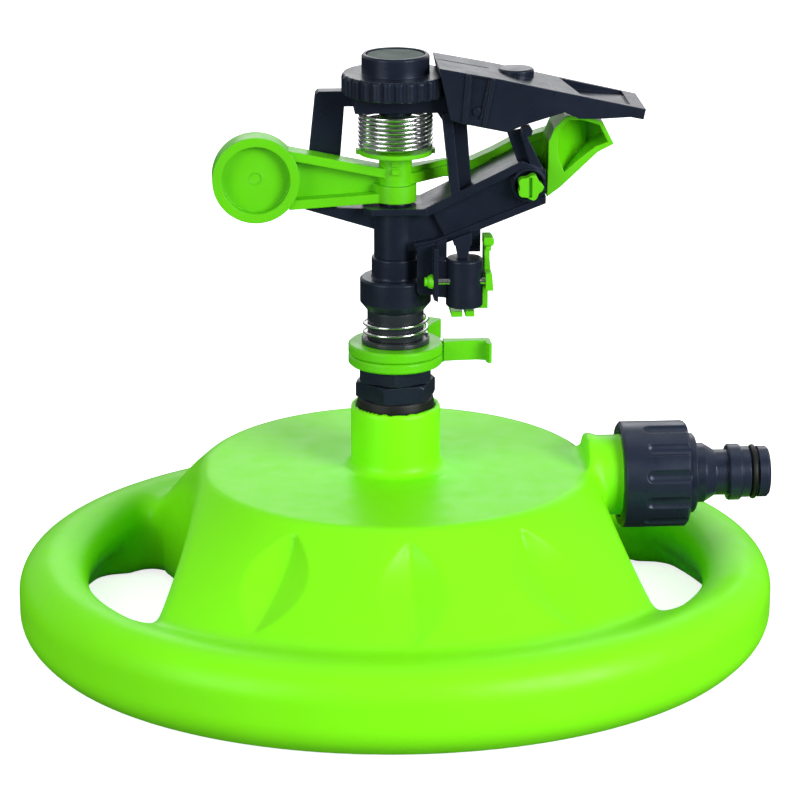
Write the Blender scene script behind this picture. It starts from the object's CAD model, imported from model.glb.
"""Rotating impact sprinkler on a round green base, in a pale studio.

The riser stands on the +Z axis and the base on z = 0. The inlet points along +X, the two
hand holes lie at +X and -X, and the camera looks from the front, -Y. The base is built
here as an implicit surface; every other piece keeps its CAD mesh and gets a material.
"""
import bpy, math
import numpy as np
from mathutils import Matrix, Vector

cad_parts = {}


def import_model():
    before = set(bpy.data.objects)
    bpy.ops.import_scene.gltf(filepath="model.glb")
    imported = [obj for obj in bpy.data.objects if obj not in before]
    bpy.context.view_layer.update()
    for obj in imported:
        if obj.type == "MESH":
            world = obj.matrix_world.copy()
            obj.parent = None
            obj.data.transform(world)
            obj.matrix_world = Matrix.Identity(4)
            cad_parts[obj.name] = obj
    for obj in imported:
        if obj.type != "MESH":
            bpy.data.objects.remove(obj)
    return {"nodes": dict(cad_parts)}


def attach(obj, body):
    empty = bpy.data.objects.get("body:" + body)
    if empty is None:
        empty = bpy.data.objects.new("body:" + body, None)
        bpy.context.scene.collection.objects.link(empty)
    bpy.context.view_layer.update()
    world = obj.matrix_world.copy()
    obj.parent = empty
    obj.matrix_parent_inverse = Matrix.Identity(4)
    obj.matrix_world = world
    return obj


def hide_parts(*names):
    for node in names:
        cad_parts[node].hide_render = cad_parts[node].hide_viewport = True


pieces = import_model()["nodes"]
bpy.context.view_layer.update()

UNIT = 1.045e-3    # metres per layout unit; the base and the camera are laid out in units

scene = bpy.context.scene
scene.view_settings.view_transform = "Standard"
scene.view_settings.look = "None"


# ------------------------------------------------------------ node helpers
def set_inputs(tree, node, inputs):
    """Fill input sockets by name or index: a socket is linked, anything else is a value."""
    for key, value in inputs.items():
        if isinstance(value, bpy.types.NodeSocket):
            tree.links.new(value, node.inputs[key])
        else:
            node.inputs[key].default_value = value


def add_node(tree, kind, inputs=None, **settings):
    node = tree.nodes.new(kind)
    # settings come first: they decide which sockets a name finds
    for key, value in settings.items():
        setattr(node, key, value)
    set_inputs(tree, node, inputs or {})
    return node


def add_noise(tree, vector, scale, detail=2.0):
    noise = add_node(tree, "ShaderNodeTexNoise",
                     {"Vector": vector, "Scale": scale, "Detail": detail})
    return noise.outputs["Fac"]


def add_range(tree, value, from_range, to_range):
    node = add_node(tree, "ShaderNodeMapRange", {
        "Value": value, "From Min": from_range[0], "From Max": from_range[1],
        "To Min": to_range[0], "To Max": to_range[1]})
    return node.outputs["Result"]


def add_ramp(tree, factor, positions, colours):
    node = add_node(tree, "ShaderNodeValToRGB", {"Fac": factor})
    for stop, position, colour in zip(node.color_ramp.elements, positions, colours):
        stop.position = position
        stop.color = (*colour, 1)
    return node.outputs["Color"]


def add_math(tree, operation, *operands):
    node = add_node(tree, "ShaderNodeMath", dict(enumerate(operands)), operation=operation)
    return node.outputs[0]


def new_surface(name):
    """Material holding only an output and a Principled shader, with object coordinates."""
    material = bpy.data.materials.new(name)
    material.use_nodes = True
    tree = material.node_tree
    tree.nodes.clear()
    output = add_node(tree, "ShaderNodeOutputMaterial")
    shader = add_node(tree, "ShaderNodeBsdfPrincipled")
    coords = add_node(tree, "ShaderNodeTexCoord").outputs["Object"]
    tree.links.new(shader.outputs[0], output.inputs[0])
    return material, tree, shader, coords


# --------------------------------------------------------------- materials
def plastic(name, base, dark, rough, grain, bump, spec, edge, edge_colour=None,
            blotch=60.0, rounded=True, tint=None):
    """Moulded plastic: slow colour drift, fine pebble, soft worn edges.

    base, dark: the two drift colours; blotch and grain: noise scales of drift and pebble
    edge: strength of the wear; rounded: soften edges with a bevel node
    """
    material, tree, shader, coords = new_surface(name)
    drift = add_ramp(tree, add_noise(tree, coords, blotch, detail=4.0),
                     positions=(0.3, 0.7), colours=(dark, base))

    # wear grows with the angle between the geometric and the rounded normal
    flat_normal = add_node(tree, "ShaderNodeNewGeometry").outputs["Normal"]
    normal = flat_normal
    if rounded:
        normal = add_node(tree, "ShaderNodeBevel", {"Radius": 0.0005}, samples=4).outputs[0]
    facing = add_node(tree, "ShaderNodeVectorMath", {0: normal, 1: flat_normal},
                      operation="DOT_PRODUCT")
    turn = add_range(tree, facing.outputs["Value"], from_range=(1.0, 0.82),
                     to_range=(0.0, 1.0))
    wear_noise = add_noise(tree, coords, scale=700.0, detail=3.0)
    patchy = add_math(tree, "MULTIPLY", turn, wear_noise)
    wear = add_math(tree, "MULTIPLY", patchy, edge * 2.0)
    worn = edge_colour or tuple(min(1.0, c * 1.6 + 0.03) for c in base)
    colour = add_node(tree, "ShaderNodeMix", {"Factor": wear, "A": drift, "B": (*worn, 1)},
                      data_type="RGBA")

    roughness = add_range(tree, add_noise(tree, coords, scale=180.0, detail=5.0),
                          from_range=(0.3, 0.7), to_range=(rough - 0.05, rough + 0.07))

    # fine pebble, then a slow waviness over it
    pebble_noise = add_noise(tree, coords, grain)
    wave_noise = add_noise(tree, coords, scale=38.0)
    pebble = add_node(tree, "ShaderNodeBump",
                      {"Strength": bump, "Distance": 0.0002, "Height": pebble_noise})
    if rounded:
        set_inputs(tree, pebble, {"Normal": normal})
    wave = add_node(tree, "ShaderNodeBump", {
        "Strength": 0.05, "Distance": 0.0008, "Height": wave_noise,
        "Normal": pebble.outputs[0]})

    set_inputs(tree, shader, {
        "Base Color": colour.outputs["Result"], "Roughness": roughness,
        "Normal": wave.outputs[0], "Specular IOR Level": spec})
    if tint:
        set_inputs(tree, shader, {"Specular Tint": (*tint, 1)})
    return material


def metal(name, colour, rough, line_scale):
    """Drawn or ground steel: fine lines across the largest line_scale, slight tarnish."""
    material, tree, shader, coords = new_surface(name)
    stretch = add_node(tree, "ShaderNodeMapping", {"Vector": coords, "Scale": line_scale})
    lines = add_noise(tree, stretch.outputs[0], scale=1.0, detail=4.0)
    roughness = add_range(tree, lines, from_range=(0.0, 1.0),
                          to_range=(rough - 0.08, rough + 0.14))
    tarnish = (colour[0] * 0.72, colour[1] * 0.72, colour[2] * 0.74)
    base = add_ramp(tree, add_noise(tree, coords, scale=220.0),
                    positions=(0.35, 0.65), colours=(tarnish, colour))
    bump = add_node(tree, "ShaderNodeBump",
                    {"Strength": 0.08, "Distance": 0.0001, "Height": lines})
    set_inputs(tree, shader, {"Base Color": base, "Roughness": roughness,
                              "Metallic": 1.0, "Normal": bump.outputs[0]})
    return material


GREEN = plastic("green_base", base=(0.215, 0.905, 0.006), dark=(0.200, 0.860, 0.005),
                rough=0.38, grain=1500.0, bump=0.05, spec=0.20, edge=0.0,
                blotch=25.0, rounded=False)
GREEN_SMALL = plastic("green_small", base=(0.118, 0.590, 0.003), dark=(0.104, 0.540, 0.003),
                      rough=0.32, grain=1900.0, bump=0.05, spec=0.34, edge=0.14)
SLATE = plastic("dark_slate", base=(0.0105, 0.0145, 0.0265), dark=(0.0085, 0.0118, 0.0215),
                rough=0.30, grain=2200.0, bump=0.07, spec=0.36, edge=0.30,
                edge_colour=(0.045, 0.055, 0.090), tint=(0.70, 0.80, 1.0))
CONNECTOR = plastic("dark_connector", base=(0.0150, 0.0205, 0.0390),
                    dark=(0.0120, 0.0165, 0.0310), rough=0.30, grain=2000.0, bump=0.06,
                    spec=0.46, edge=0.28, edge_colour=(0.055, 0.068, 0.115),
                    tint=(0.68, 0.78, 1.0))
BEARING = plastic("bearing_plastic", base=(0.020, 0.026, 0.030), dark=(0.016, 0.020, 0.024),
                  rough=0.28, grain=1800.0, bump=0.04, spec=0.5, edge=0.2)
INSET = plastic("knob_inset", base=(0.044, 0.082, 0.066), dark=(0.037, 0.070, 0.056),
                rough=0.55, grain=1200.0, bump=0.10, spec=0.18, edge=0.2)
RUBBER = plastic("rubber_seal", base=(0.0060, 0.0062, 0.0070), dark=(0.0045, 0.0047, 0.0050),
                 rough=0.48, grain=2500.0, bump=0.12, spec=0.4, edge=0.25,
                 edge_colour=(0.03, 0.03, 0.033))
SPRING = metal("spring_wire", colour=(0.86, 0.86, 0.87), rough=0.20,
               line_scale=(300.0, 300.0, 2600.0))
PIN = metal("pin_steel", colour=(0.70, 0.70, 0.72), rough=0.26,
            line_scale=(2600.0, 300.0, 300.0))

# --------------------------------------------------------------- CAD pieces
PIECE_MATERIAL = {
    "base_vessel": GREEN, "inlet_washer": RUBBER, "hose_nipple": CONNECTOR,
    "nose_oring": RUBBER, "boss_gland": RUBBER, "lock_nut": SLATE, "bearing_nut": SLATE,
    "lower_thrust_washer": BEARING, "upper_thrust_washer": BEARING, "union_nut": CONNECTOR,
    "lower_trip_collar": GREEN_SMALL, "upper_trip_collar": GREEN_SMALL,
    "swivel_tube": BEARING, "bearing_sleeve": SLATE, "bearing_spring": SPRING,
    "head_body": SLATE, "nozzle_insert": BEARING, "axle_pin": PIN, "flap_pin": SLATE,
    "trip_housing": SLATE, "arm_spring": SPRING, "impact_arm": GREEN_SMALL,
    "lower_arm_bush": BEARING, "upper_arm_bush": BEARING, "spring_seat": GREEN_SMALL,
    "tension_knob": SLATE, "knob_cap": INSET, "deflector_flap": SLATE, "diffuser_pin": PIN,
    "diffuser_knob": GREEN_SMALL, "trip_lever": GREEN_SMALL, "trip_pin": PIN,
    "trip_button": GREEN_SMALL,
}
# bevel widths in metres, for the pieces with visibly rounded edges
EDGE_WIDTH = {
    "impact_arm": 0.00028, "head_body": 0.00025, "deflector_flap": 0.00028,
    "union_nut": 0.00030, "tension_knob": 0.00016, "lower_trip_collar": 0.00025,
    "upper_trip_collar": 0.00025, "trip_lever": 0.00018, "lock_nut": 0.00025,
    "bearing_nut": 0.00025, "bearing_sleeve": 0.00025,
}
SHARP_ANGLE = math.radians(30.0)
BEVEL_ANGLE = math.radians(32.0)


def dress(obj, material):
    """Give the object one material and smooth shading."""
    obj.data.materials.clear()
    obj.data.materials.append(material)
    for polygon in obj.data.polygons:
        polygon.use_smooth = True


def bevel_edges(obj, width):
    bevel = obj.modifiers.new("edge", "BEVEL")
    bevel.width = width
    bevel.segments = 2
    bevel.limit_method = "ANGLE"
    bevel.angle_limit = BEVEL_ANGLE
    bevel.use_clamp_overlap = True
    bevel.harden_normals = False


for name, piece in pieces.items():
    dress(piece, PIECE_MATERIAL[name])
    piece.data.set_sharp_from_angle(angle=SHARP_ANGLE)
    if name in EDGE_WIDTH:
        bevel_edges(piece, EDGE_WIDTH[name])


# --------------------------------------------------------- implicit surface
# Fields are negative inside. min joins, max intersects, max with a negated field cuts.
def smooth_min(a, b, blend):
    overlap = np.maximum(blend - np.abs(a - b), 0.0) / blend
    return np.minimum(a, b) - overlap * overlap * blend * 0.25


def smooth_max(a, b, blend):
    overlap = np.maximum(blend - np.abs(a - b), 0.0) / blend
    return np.maximum(a, b) + overlap * overlap * blend * 0.25


def crossing_points(values, cells):
    """Mean of the zero crossings on each cell's twelve edges, in cell widths."""
    total = np.zeros((len(cells), 3))
    count = np.zeros(len(cells))
    corners = [(i, j, k) for i in (0, 1) for j in (0, 1) for k in (0, 1)]
    for first in range(8):
        for second in range(first + 1, 8):
            start, end = corners[first], corners[second]
            if sum(abs(start[i] - end[i]) for i in range(3)) != 1:
                continue
            at_start = values[tuple(cells[:, i] + start[i] for i in range(3))]
            at_end = values[tuple(cells[:, i] + end[i] for i in range(3))]
            crossed = (at_start < 0) != (at_end < 0)
            along = np.where(crossed, at_start / np.where(crossed, at_start - at_end, 1.0), 0.0)
            for i in range(3):
                total[:, i] += np.where(crossed, start[i] + (end[i] - start[i]) * along, 0.0)
            count += crossed
    return total / count[:, None]


def crossing_quads(inside, cell_index):
    """One quad around every grid edge that crosses the surface, facing outward."""
    quads = []
    for axis in range(3):
        near = inside[tuple(slice(0, n - 1) if i == axis else slice(1, n - 1)
                            for i, n in enumerate(inside.shape))]
        far = inside[tuple(slice(1, n) if i == axis else slice(1, n - 1)
                           for i, n in enumerate(inside.shape))]
        leaving = near[near != far]
        cells = np.argwhere(near != far) + np.array([0 if i == axis else 1 for i in range(3)])
        u, v = (axis + 1) % 3, (axis + 2) % 3
        ring = []
        for back_u, back_v in ((1, 1), (0, 1), (0, 0), (1, 0)):
            cell = cells.copy()
            cell[:, u] -= back_u
            cell[:, v] -= back_v
            ring.append(cell_index[cell[:, 0], cell[:, 1], cell[:, 2]])
        quad = np.stack(ring, 1)
        quad[~leaving] = quad[~leaving][:, ::-1]
        quads.append(quad)
    return np.concatenate(quads)


def pull_to_surface(field, start, size, steps=4, probe=0.02):
    """Newton steps along the gradient, held to 0.4 cell each and 0.9 cell in all."""
    points = start.copy()
    for _ in range(steps):
        value = field(points[:, 0], points[:, 1], points[:, 2])
        gradient = np.stack([field(*(points + shift).T) - field(*(points - shift).T)
                             for shift in probe * np.eye(3)], 1) / (2 * probe)
        squared = np.maximum((gradient * gradient).sum(1), 1e-3)
        step = (value / squared)[:, None] * gradient
        length = np.linalg.norm(step, axis=1, keepdims=True)
        step *= np.minimum(1.0, 0.4 * size / np.maximum(length, 1e-9))
        points = points - step
    moved = points - start
    length = np.linalg.norm(moved, axis=1, keepdims=True)
    return start + moved * np.minimum(1.0, 0.9 * size / np.maximum(length, 1e-9))


def surface_nets(field, low, high, size, chunk=64):
    """Closed quad mesh of field = 0 inside the box, on cubic cells of the given size."""
    nx, ny, nz = [int(math.ceil((high[i] - low[i]) / size)) + 1 for i in range(3)]
    xs, ys, zs = [low[i] + size * np.arange(n) for i, n in enumerate((nx, ny, nz))]
    values = np.empty((nx, ny, nz), np.float32)
    for i in range(0, nx, chunk):
        values[i:i + chunk] = field(*np.meshgrid(xs[i:i + chunk], ys, zs, indexing="ij"))
    inside = values < 0
    corner_count = np.zeros((nx - 1, ny - 1, nz - 1), np.int8)
    for i in (0, 1):
        for j in (0, 1):
            for k in (0, 1):
                corner_count += inside[i:nx - 1 + i, j:ny - 1 + j, k:nz - 1 + k]
    active = (corner_count > 0) & (corner_count < 8)
    cells = np.argwhere(active)
    cell_index = -np.ones(active.shape, np.int64)
    cell_index[active] = np.arange(len(cells))
    points = (cells + crossing_points(values, cells)) * size + np.array(low)
    return pull_to_surface(field, points, size), crossing_quads(inside, cell_index)


# ----------------------------------------------------------------- the base
# All in layout units.
OUTER_X, OUTER_Y = 112.6, 102.4          # half axes of the oval outline
RING_WIDTH, RING_HEIGHT = 21.0, 26.0
RING_FOOT_RADIUS = 9.9                   # lower corners of the ring's section
CONE_TOP_RADIUS, CONE_TOP, CONE_SLOPE = 57.2, 52.0, 1.1    # slope: run over drop
LEAF_TOP, LEAF_BOTTOM = 48.9, 27.2
LEAF_HALF_WIDTH, LEAF_DEPTH = 9.9, 3.3
LEAF_AZIMUTHS = (-90.0, -58.0, -122.0, 90.0, 58.0, 122.0)  # three in front, three behind
HOLE_ARC_X, HOLE_ARC_RADIUS = 168.8, 109.0                 # arc on the hole's inner side
HOLE_OUTER_RADIUS, HOLE_HALF_LENGTH, HOLE_INSET = 92.0, 55.5, 0.35
RELIEF_TOP, RELIEF_HALF_LENGTH, RELIEF_INNER_RADIUS = 13.5, 48.0, 86.0
RELIEF_SLOPE, RELIEF_SLOPE_START = 1.2, 92.2               # its roof drops past this radius
RELIEF_REACH = 9.0                                         # how far it spreads past the hole
BOSS_RADIUS, BOSS_BOTTOM, BOSS_TOP = 13.2, 40.0, 71.0
INLET_Z, INLET_RADIUS, INLET_START, INLET_END = 47.0, 12.0, 56.5, 80.0
FLARE_GROWTH, FLARE_END, FLARE_LENGTH = 1.2, 60.5, 4.0     # thicker root of the inlet
BAND_RADIUS, BAND_START, BAND_END = 12.5, 67.4, 79.6       # raised band on the inlet
RISER_BORE, RISER_BORE_BOTTOM = 9.1, 55.0
RISER_SEAT, RISER_SEAT_BOTTOM = 11.5, 69.2
INLET_BORE, INLET_BORE_START = 9.2, 66.0


def ring_field(radius, cos_az, outline, z):
    """Hand ring: nearly round in section, with a narrow flat to stand on."""
    half_width = 0.5 * RING_WIDTH * (0.90 + 0.10 * cos_az * cos_az)
    across = radius - (outline - half_width)
    above = z - 0.5 * RING_HEIGHT
    corner = np.where(above > 0, half_width * 0.985, RING_FOOT_RADIUS)
    side = np.abs(across) - half_width + corner
    end = np.abs(above) - 0.5 * RING_HEIGHT + corner
    beyond = np.sqrt(np.maximum(side, 0) ** 2 + np.maximum(end, 0) ** 2)
    return np.minimum(np.maximum(side, end), 0.0) + beyond - corner


def cone_field(radius, outline, x, y, z):
    """Flat-topped cone with six leaf-shaped hollows, each creased down its middle."""
    slant = radius - (CONE_TOP_RADIUS + CONE_SLOPE * (CONE_TOP - z))
    side = slant / math.hypot(1.0, CONE_SLOPE)
    down = (LEAF_TOP - z) / (LEAF_TOP - LEAF_BOTTOM)
    swell = np.sin(math.pi * np.clip(down, 0.0, 1.0))
    half_width = LEAF_HALF_WIDTH * swell ** 0.80 + 0.02
    depth = LEAF_DEPTH * swell ** 0.62
    for azimuth in LEAF_AZIMUTHS:
        angle = math.radians(azimuth)
        across = -x * math.sin(angle) + y * math.cos(angle)
        outward = x * math.cos(angle) + y * math.sin(angle)
        raw = depth * (1.0 - np.sqrt(across * across + 0.05) / half_width)
        hollow = 0.5 * (raw + np.sqrt(raw * raw + 0.012)) - 0.02    # soft max(raw, 0)
        on_leaf = (outward > 0) & (down > 0) & (down < 1)
        side = side + np.where(on_leaf, np.maximum(hollow, 0.0), 0.0)
    cone = smooth_max(side, z - CONE_TOP, 1.3)
    cone = np.maximum(cone, -z)
    return smooth_max(cone, radius - (outline - 9.0), 2.0)


def cut_hand_holes(body, radius, x, y, z):
    """Cut the two lens-shaped hand holes, and the finger reliefs below the grips."""
    arc = np.sqrt((np.abs(x) - HOLE_ARC_X) ** 2 + y * y) - HOLE_ARC_RADIUS
    hole = smooth_max(arc, radius - HOLE_OUTER_RADIUS, 9.0)
    hole = smooth_max(hole, np.abs(y) - HOLE_HALF_LENGTH, 8.0) + HOLE_INSET
    body = smooth_max(body, -hole, 5.0)
    roof = z - RELIEF_TOP + RELIEF_SLOPE * np.maximum(radius - RELIEF_SLOPE_START, 0.0)
    relief = smooth_max(roof * 0.64, hole - RELIEF_REACH, 4.0)
    relief = smooth_max(relief, np.abs(y) - RELIEF_HALF_LENGTH, 6.0)
    relief = smooth_max(relief, RELIEF_INNER_RADIUS - radius, 4.0)
    return smooth_max(body, -relief, 3.5)


def inlet_field(inlet_radius, x):
    flare = FLARE_GROWTH * np.clip((FLARE_END - x) / FLARE_LENGTH, 0, 1)
    inlet = smooth_max(inlet_radius - INLET_RADIUS - flare, INLET_START - x, 2.0)
    return np.maximum(inlet, x - INLET_END)


def base_field(x, y, z):
    radius = np.sqrt(x * x + y * y) + 1e-6
    cos_az, sin_az = x / radius, y / radius
    outline = 1.0 / np.sqrt((cos_az / OUTER_X) ** 2 + (sin_az / OUTER_Y) ** 2)
    inlet_radius = np.sqrt(y * y + (z - INLET_Z) ** 2)

    body = smooth_min(ring_field(radius, cos_az, outline, z),
                      cone_field(radius, outline, x, y, z), 7.0)
    body = smooth_max(body, -z, 1.2)
    body = cut_hand_holes(body, radius, x, y, z)
    boss = smooth_max(radius - BOSS_RADIUS, z - BOSS_TOP, 1.1)
    body = smooth_min(body, np.maximum(boss, BOSS_BOTTOM - z), 3.0)
    body = smooth_min(body, inlet_field(inlet_radius, x), 3.0)
    band = np.maximum(np.maximum(inlet_radius - BAND_RADIUS, x - BAND_END), BAND_START - x)
    body = np.minimum(body, band)
    for bore in (np.maximum(radius - RISER_BORE, RISER_BORE_BOTTOM - z),
                 np.maximum(radius - RISER_SEAT, RISER_SEAT_BOTTOM - z),
                 np.maximum(inlet_radius - INLET_BORE, INLET_BORE_START - x)):
        body = np.maximum(body, -bore)
    return body


def build_base():
    points, quads = surface_nets(base_field, low=(-115.0, -105.0, -2.0),
                                 high=(115.0, 105.0, 73.0), size=1.0)
    points[:, 2] = np.maximum(points[:, 2], 0.0)
    mesh = bpy.data.meshes.new("base_moulding")
    mesh.from_pydata((points * UNIT).tolist(), [], quads.tolist())
    mesh.validate()
    mesh.update()
    base = bpy.data.objects.new("base_moulding", mesh)
    scene.collection.objects.link(base)
    dress(base, GREEN)
    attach(base, "base")
    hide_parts("base_vessel")


build_base()


# -------------------------------------------------------------------- stage
def add_camera():
    """Long lens, low three-quarter view, aimed level with the riser axis."""
    distance, height = 900.0, 355.7                   # layout units
    pitch, yaw = math.radians(90.0 - 17.51), math.radians(3.9)
    data = bpy.data.cameras.new("camera")
    data.sensor_width = 36.0
    data.lens = 143.4897
    data.shift_x = 0.005625
    data.clip_end = 20.0
    camera = bpy.data.objects.new("camera", data)
    scene.collection.objects.link(camera)
    camera.location = (-distance * math.sin(yaw) * UNIT, -distance * math.cos(yaw) * UNIT,
                       height * UNIT)
    camera.rotation_euler = (pitch, 0.0, -yaw)
    scene.camera = camera


def floor_material():
    """White to the camera, but grey to diffuse rays and near black to glossy ones."""
    white = (0.93, 0.93, 0.93, 1)
    material = bpy.data.materials.new("floor_pale")
    material.use_nodes = True
    tree = material.node_tree
    shader = tree.nodes["Principled BSDF"]
    rays = add_node(tree, "ShaderNodeLightPath").outputs
    glow = add_math(tree, "MULTIPLY", rays["Is Camera Ray"], 0.80)
    colour = add_node(tree, "ShaderNodeMix", {
        "Factor": rays["Is Camera Ray"], "A": (0.34, 0.34, 0.34, 1), "B": white},
        data_type="RGBA")
    set_inputs(tree, shader, {"Base Color": white, "Roughness": 0.8,
                              "Specular IOR Level": 0.0, "Emission Color": (1, 1, 1, 1),
                              "Emission Strength": glow})
    set_inputs(tree, shader, {"Base Color": colour.outputs["Result"]})
    dim = add_node(tree, "ShaderNodeEmission", {"Color": (0.03, 0.032, 0.04, 1)})
    by_ray = add_node(tree, "ShaderNodeMixShader", {
        0: rays["Is Glossy Ray"], 1: shader.outputs[0], 2: dim.outputs[0]})
    set_inputs(tree, tree.nodes["Material Output"], {0: by_ray.outputs[0]})
    return material


def add_floor():
    mesh = bpy.data.meshes.new("floor")
    mesh.from_pydata([(-6, -6, 0), (6, -6, 0), (6, 6, 0), (-6, 6, 0)], [], [(0, 1, 2, 3)])
    floor = bpy.data.objects.new("floor", mesh)
    scene.collection.objects.link(floor)
    floor.location = (0, 0, -0.0003)                  # just clear of the base
    mesh.materials.append(floor_material())


def add_world():
    """White backdrop for the camera, even dim room for diffuse rays, scrim for glossy."""
    world = bpy.data.worlds.new("studio")
    world.use_nodes = True
    tree = world.node_tree
    rays = add_node(tree, "ShaderNodeLightPath").outputs
    coords = add_node(tree, "ShaderNodeTexCoord").outputs["Generated"]
    direction = add_node(tree, "ShaderNodeSeparateXYZ", {0: coords}).outputs
    # the scrim is brighter overhead and behind, dim in front
    lift = add_math(tree, "MULTIPLY_ADD", direction["Z"], 0.7, direction["Y"])
    scrim = add_range(tree, lift, from_range=(0.0, 0.9), to_range=(0.02, 0.60))
    room = add_node(tree, "ShaderNodeMix", {
        "Factor": rays["Is Glossy Ray"], "A": 0.34, "B": scrim})
    strength = add_node(tree, "ShaderNodeMix", {
        "Factor": rays["Is Camera Ray"], "A": room.outputs["Result"], "B": 1.0})
    set_inputs(tree, tree.nodes["Background"], {
        "Color": (1.0, 1.0, 1.0, 1), "Strength": strength.outputs["Result"]})
    scene.world = world


def add_light(name, location, target_z, size, power):
    """White rectangular light aimed at a point on the Z axis, in metres and watts."""
    data = bpy.data.lights.new(name, "AREA")
    data.shape = "RECTANGLE"
    data.size, data.size_y = size
    data.energy = power
    data.color = (1, 1, 1)
    light = bpy.data.objects.new(name, data)
    scene.collection.objects.link(light)
    light.location = location
    aim = Vector((0, 0, target_z)) - Vector(location)
    light.rotation_euler = aim.to_track_quat("-Z", "Y").to_euler()


add_camera()
add_floor()
add_world()
add_light("key", location=(0.95, -1.00, 0.55), target_z=0.06, size=(0.7, 0.7), power=21.0)
add_light("fill", location=(-1.00, -0.85, 0.45), target_z=0.07, size=(0.7, 0.9), power=9.0)
add_light("top", location=(0.0, 0.20, 1.20), target_z=0.08, size=(0.9, 0.7), power=1.2)
add_light("rim", location=(0.2, 1.05, 0.60), target_z=0.10, size=(1.0, 0.5), power=3.0)
